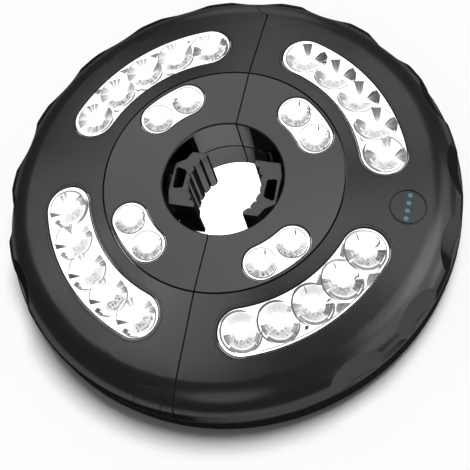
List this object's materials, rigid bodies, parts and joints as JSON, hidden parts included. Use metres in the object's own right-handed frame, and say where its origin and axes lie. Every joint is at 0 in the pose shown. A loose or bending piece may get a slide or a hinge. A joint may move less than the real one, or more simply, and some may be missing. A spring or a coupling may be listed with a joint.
{
  "type": "patio_umbrella_light",
  "caption": "Round clamp-on patio umbrella light: a two-part hinged ring with ribbed spring jaws round the pole, lens windows, a power button and fold-away hooks",
  "frame": {"origin": "on the pole hole's axis, at the back face that the light lies on", "axes": "+Z from the back face to the lamp face, +Y to the hinge, +X to the half with the power button"},
  "size_m": [0.205, 0.2048, 0.04],
  "materials": {
    "front_housing": "fine satin charcoal",
    "back_housing": "satin near-black",
    "lens": "clear, lit from behind",
    "circuit_board": "solder mask",
    "lamp_chip": "phosphor",
    "button": "satin charcoal",
    "charge_light": "translucent blue",
    "switch": "moulded",
    "steel": "plated",
    "jaw": "satin charcoal",
    "hook": "satin charcoal",
    "cell": "shrink sleeve",
    "port_rubber": "matte"
  },
  "bodies": {
    "left_half": {"front_shell_left": "front_housing", "back_shell_left": "back_housing", "hub_panel_left": "front_housing", "large_lens_upper_left": "lens", "large_lens_lower_left": "lens", "small_lens_upper_left": "lens", "small_lens_lower_left": "lens", "lamp_board_left": "circuit_board", "lamps_left": "lamp_chip", "hinge_pin": "steel", "hook_pin_left": "steel", "battery_left": "cell", "case_screws_left": "steel", "board_screws_left": "steel", "latch_spring": "steel", "jaw_spring_left": "steel"},
    "right_half": {"front_shell_right": "front_housing", "back_shell_right": "back_housing", "hub_panel_right": "front_housing", "large_lens_upper_right": "lens", "large_lens_lower_right": "lens", "small_lens_upper_right": "lens", "small_lens_lower_right": "lens", "lamp_board_right": "circuit_board", "lamps_right": "lamp_chip", "power_switch": "switch", "hook_pin_right": "steel", "battery_right": "cell", "charge_board": "circuit_board", "charge_socket": "steel", "case_screws_right": "steel", "board_screws_right": "steel", "jaw_spring_right": "steel"},
    "power_button": {"power_button": "button", "charge_lights": "charge_light", "switch_plunger": "steel"},
    "latch": {"release_button": "button"},
    "jaw_left": {"jaw_left": "jaw"},
    "jaw_right": {"jaw_right": "jaw"},
    "hook_left": {"hook_left": "hook"},
    "hook_right": {"hook_right": "hook"},
    "port_cover": {"port_cover": "port_rubber"}
  },
  "joints": [
    {"name": "swing", "type": "hinge", "parent": "left_half", "child": "right_half", "pos_m": [0, 0.0956, 0.02], "axis": [0, 0, 1], "range_deg": [0, 70]},
    {"name": "power_press", "type": "slide", "parent": "right_half", "child": "power_button", "axis": [0, 0, -1], "range_m": [0, 0.001], "stiffness_N_per_m": 1500, "springref_m": -0.0005},
    {"name": "release_press", "type": "slide", "parent": "left_half", "child": "latch", "axis": [0, 0.7361, -0.6769], "range_m": [0, 0.0024], "stiffness_N_per_m": 800, "springref_m": -0.002, "deforming": ["latch_spring"]},
    {"name": "jaw_left_slide", "type": "slide", "parent": "left_half", "child": "jaw_left", "axis": [-1, 0, 0], "range_m": [0, 0.006], "stiffness_N_per_m": 600, "springref_m": -0.006, "deforming": ["jaw_spring_left"]},
    {"name": "jaw_right_slide", "type": "slide", "parent": "right_half", "child": "jaw_right", "axis": [1, 0, 0], "range_m": [0, 0.006], "stiffness_N_per_m": 600, "springref_m": -0.006, "deforming": ["jaw_spring_right"]},
    {"name": "hook_left_fold", "type": "hinge", "parent": "left_half", "child": "hook_left", "pos_m": [-0.06048, -0.05107, 0.0032], "axis": [0.6428, 0.766, 0], "range_deg": [0, 100]},
    {"name": "hook_right_fold", "type": "hinge", "parent": "right_half", "child": "hook_right", "pos_m": [0.06048, 0.05107, 0.0032], "axis": [-0.6428, -0.766, 0], "range_deg": [0, 100]},
    {"name": "port_cover_pull", "type": "slide", "parent": "right_half", "child": "port_cover", "axis": [0.9763, -0.2164, 0], "range_m": [0, 0.008]}
  ]
}
